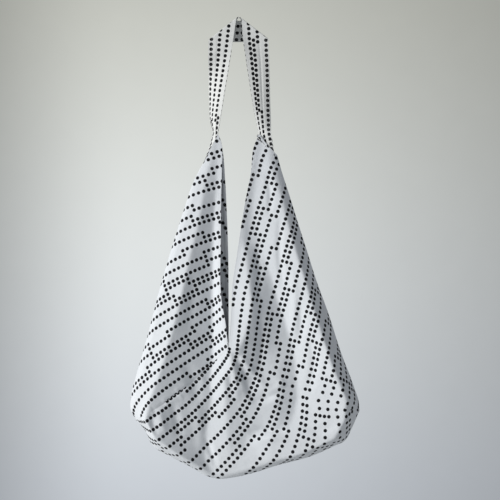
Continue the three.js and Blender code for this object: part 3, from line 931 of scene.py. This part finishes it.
# %% Hems and seams
HEM = np.array([(9, 0.9), (9, 1.7), (0.3, 1.7), (-0.35, 1.55), (-0.75, 1.15), (-0.88, 0.7),
                (-0.75, 0.25), (-0.4, 0.0), (-0.03, -0.06), (-0.03, 0.9)])
TAPE = np.array([(0.6, 0.9), (10, 0.9), (10, 1.7), (0.6, 1.7)])


def carried(name, grid, ids, profile, node):
    """A closed profile carried down the first column of a grid. Its first number runs into the
    cloth along the surface, its second runs inwards through it."""
    path, normal = grid[:, 0], outward[ids[:, 0]]
    inward = unit(grid[:, 3] - path)
    inward = unit(inward - (inward * normal).sum(-1, keepdims=True) * normal)
    points = (path[:, None] + inward[:, None] * profile[None, :, :1]
              - normal[:, None] * profile[None, :, 1:])
    rows, columns = points.shape[:2]
    table = numbered(rows, columns)
    after = np.roll(table, -1, axis=1)
    quads = np.stack([table[:-1], after[:-1], after[1:], table[1:]], -1).reshape(-1, 4)
    flat = points.reshape(-1, 3)
    centre = np.repeat(points.mean(1)[:-1], columns, 0)
    inside_out = (quads_facing(flat, quads) * (flat[quads].mean(1) - centre)).sum() < 0
    ends = np.array([row[[i, i + 1, -2 - i, -1 - i]] for row in (table[0, ::-1], table[-1])
                     for i in range(columns // 2 - 1)])
    quads = np.concatenate([quads, ends])
    if inside_out:
        quads = quads[:, ::-1]
    slope = (lay[ids[:, 3]] - lay[ids[:, 0]]) / np.linalg.norm(grid[:, 3] - path, axis=1)[:, None]
    printed = lay[ids[:, 0]][:, None] + slope[:, None] * profile[None, :, :1]
    sewn = np.stack(np.broadcast_arrays(length_along(path, 0)[:, None],
                                        np.maximum(profile[:, 0], 0)), -1)
    even = np.broadcast_to([1.0, 0.0, 1.0], flat.shape)
    made = add_piece(name, flat, quads, printed.reshape(-1, 2), sewn.reshape(-1, 2), even,
                     printed_cotton)
    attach(made, "bag")
    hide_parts(node)
    return made


CORNER_FREE = 22    # steps at each corner of the bottom that have no tape, as it would bunch there
short = slice(1, -3)
hems = [carried(f"{side}_{face}_hem", grid[short, way], ids[short, way], HEM, f"hem_{side}_{face}")
        for side, grid, ids in (("left", left, left_ids), ("right", right, right_ids))
        for face, way in (("front", slice(None)), ("back", slice(None, None, -1)))]
seams = [carried(f"{side}_seam_tape", base[part], base_ids[part], TAPE, f"seam_{side}")
         for side, part in (("left", slice(CORNER_FREE, HALF - 1)),
                            ("right", (slice(HALF + 2, -CORNER_FREE), slice(None, None, -1))))]
print("hems and tapes:", [p.name for p in hems + seams])

# %% [markdown]
# ## The strap
# The strap is a flat band sixty millimetres wide. It hangs down in front on each side, passes over
# a sloping rest at the top and runs level behind from one fold to the other. Towards each neck it
# turns away from the front: one edge stays flat in front and the rest of the band curves back
# behind it, so it looks narrower and narrower and its dots look flattened. At the neck it is
# gathered in small pleats, and below it spreads again along the slanted cut of the peak, where it
# is sewn on.

# %% Strap
BAND, STOUT = 60.0, 1.2     # width and thickness of the strap
SLOPE = np.radians(42.5)    # of the rest that it passes over
COLUMNS = 101               # points across the band
SEWN_ROWS, HANGING_ROWS, OVER_ROWS = 14, 48, 12     # on the cut, in front, and over the rest
FIRST, GAP = 6.5, 19.0      # from the band's edge to a column of dots, and from column to column


def gathered(share, shown):
    """Where points of the band lie on a line that shows only a part of it, 0 at the free edge and 1
    at the turned one, and how far behind that line. The band turns away more and more: the cosine
    of its turn is exp(-k share), with k so that the whole band fits. The depth is the integral of
    the sine. Less and less of it is kept towards the neck, and pleats take its place."""
    many = np.linspace(1e-3, 6, 400)
    k = np.interp(1 / shown, many / (1 - np.exp(-many)), many)
    sine = np.sqrt(1 - np.exp(-2 * k * share))
    kept = np.interp(shown, [0.25, 0.65, 1], [0.25, 0.8, 1])
    pleats = np.clip((0.6 - shown) / 0.3, 0, 1) * 1.5 * np.sin(2 * np.pi * 3.3 * share)
    return ((1 - np.exp(-k * share)) / (1 - np.exp(-k)),
            BAND * (np.arctanh(sine) - sine) / k * kept + pleats)


def half_strap(side, cut, outer_line, inner_line, free_outside, over, tilt, deep):
    """One half as rows of points across the band, from the sewn end up to the top and over it.
    Columns run from the outer edge to the inner one. `over` is how far the sewn end lies in front
    of the plane, `tilt` how far the two edges lean out of it half way up, and `deep` the share of
    its curve's depth that the band keeps."""
    w = np.linspace(0, 1, COLUMNS)
    share = w if free_outside else 1 - w
    outer, inner = smooth(outer_line, HANGING_ROWS), smooth(inner_line, HANGING_ROWS)
    lines = []
    for t in np.linspace(0, 1, SEWN_ROWS + 1)[:-1]:
        e = t * t * (3 - 2 * t)
        ends = [np.array(end, float) * (1 - e) + line[0] * e
                for end, line in ((cut[-1], outer), (cut[0], inner))]
        lines.append((*ends, (1 - e) * over, (1 - e) * over))
    for a, b, t in zip(outer, inner, np.linspace(0, 1, HANGING_ROWS)):
        lean = np.sin(np.pi * t ** 0.6)
        lines.append((a, b, tilt[0] * lean, tilt[1] * lean))
    a, b = (np.array([seen(*line[i], line[i + 2]) for line in lines]) for i in (0, 1))
    # Over the fold: half a turn round a line that slopes like the strap's top.
    up_fold = np.array([-side * np.sin(SLOPE), 0, np.cos(SLOPE)])
    turn = np.pi * np.arange(1, OVER_ROWS + 1)[:, None] / OVER_ROWS
    out = up_fold * np.sin(turn) - np.array([0, 1.0, 0]) * np.cos(turn)
    a[-1, 1] = b[-1, 1] = BEND
    a, b = (np.concatenate([line, line[-1] + [0, -BEND, 0] + out * -BEND]) for line in (a, b))
    shown = np.clip(np.linalg.norm(b - a, axis=1) / BAND, 0.25, 1)
    soft = np.convolve(np.pad(shown, 8, "edge"), np.hanning(17) / np.hanning(17).sum(), "valid")
    unturned = np.interp(np.arange(len(a)), [len(lines) - 16, len(lines) - 1], [0, 1])
    place, behind = gathered(share[None], np.maximum(soft, unturned)[:, None])
    free, turned_edge = (a, b) if free_outside else (b, a)
    grid = free[:, None] + (turned_edge - free)[:, None] * place[..., None]
    behind[:SEWN_ROWS] *= 1 - np.linspace(1, 0, SEWN_ROWS)[:, None] ** 2
    grid[..., 1] += deep * behind
    # A soft crease or two along the band, so that it isn't quite flat.
    crease = 0.9 * np.exp(-((w - 0.36) / 0.05) ** 2) + 0.6 * np.exp(-((w - 0.7) / 0.06) ** 2)
    level = np.sin(np.pi * np.clip(np.arange(len(lines)) / len(lines) * 1.3 - 0.3, 0, 1))[:, None]
    grid[:len(lines), :, 1] += crease[None] * level
    return grid, len(lines)


left_outer = [(-56, -256), (-62.5, -229), (-65, -185), (-66, -128), (-66.5, -75), (-66, -53)]
left_inner = [(-45, -256), (-35, -196), (-12, -54), (-5, -6)]
right_outer = [(72, -256), (70, -200), (68, -101), (66.5, -52)]
right_inner = [(45, -256), (35, -211), (27, -164), (19, -114), (12.5, -70), (10, -54), (6.5, -6)]
left_strap, front_rows = half_strap(-1, cut_left, left_outer, left_inner, False, 2.0, (-4, 5), 0.8)
lapped = [(x - 5.5, z - 4.5) for x, z in cut_right]
right_strap, _ = half_strap(1, lapped, right_outer, right_inner, True, 4.6, (-13, 5), 0.4)
between = np.linspace(0, 1, 25)[1:-1, None, None]
level = left_strap[-1][None] * (1 - between) + right_strap[-1][None] * between
level[..., 2] -= 2.0 * np.sin(np.pi * between[..., 0])
strap = np.concatenate([left_strap, level, right_strap[::-1]])
normal = unit(np.cross(np.gradient(strap, axis=0), np.gradient(strap, axis=1)))
if normal[40, 50, 1] > 0:
    normal = -normal

# Along each half the rows of dots run down the band, level with each other where it is flat.
walked = length_along(strap, 0)
low, high = walked[40], walked[-41]
over = np.clip((np.arange(len(strap)) - front_rows) / (len(strap) - 2 * front_rows), 0, 1)[:, None]
along_strap = walked - (low * (1 - over) + (high - high.mean() + low.mean()) * over)
across_strap = (np.linspace(0, BAND, COLUMNS) - FIRST) * ROW / GAP + ROW * 0.25
strap_lay = np.stack(np.broadcast_arrays(along_strap, across_strap[None]), -1)
edge_inset = BAND / 2 - np.abs(np.linspace(-BAND / 2, BAND / 2, COLUMNS))
strap_sewn = np.stack(np.broadcast_arrays(along_strap, edge_inset[None]), -1)
strap_cloth = closed_sheet("strap_cloth", strap + normal * (STOUT / 2), normal, STOUT, strap_lay,
                           strap_sewn, strap_cotton)
print("strap:", strap.shape, "length", walked[-1].mean().round(), "mm")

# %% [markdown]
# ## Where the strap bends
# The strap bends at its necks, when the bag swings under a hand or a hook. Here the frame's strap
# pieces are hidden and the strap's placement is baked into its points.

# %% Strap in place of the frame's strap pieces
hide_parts("strap", "strap_end_left", "strap_end_right")
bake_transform(strap_cloth)
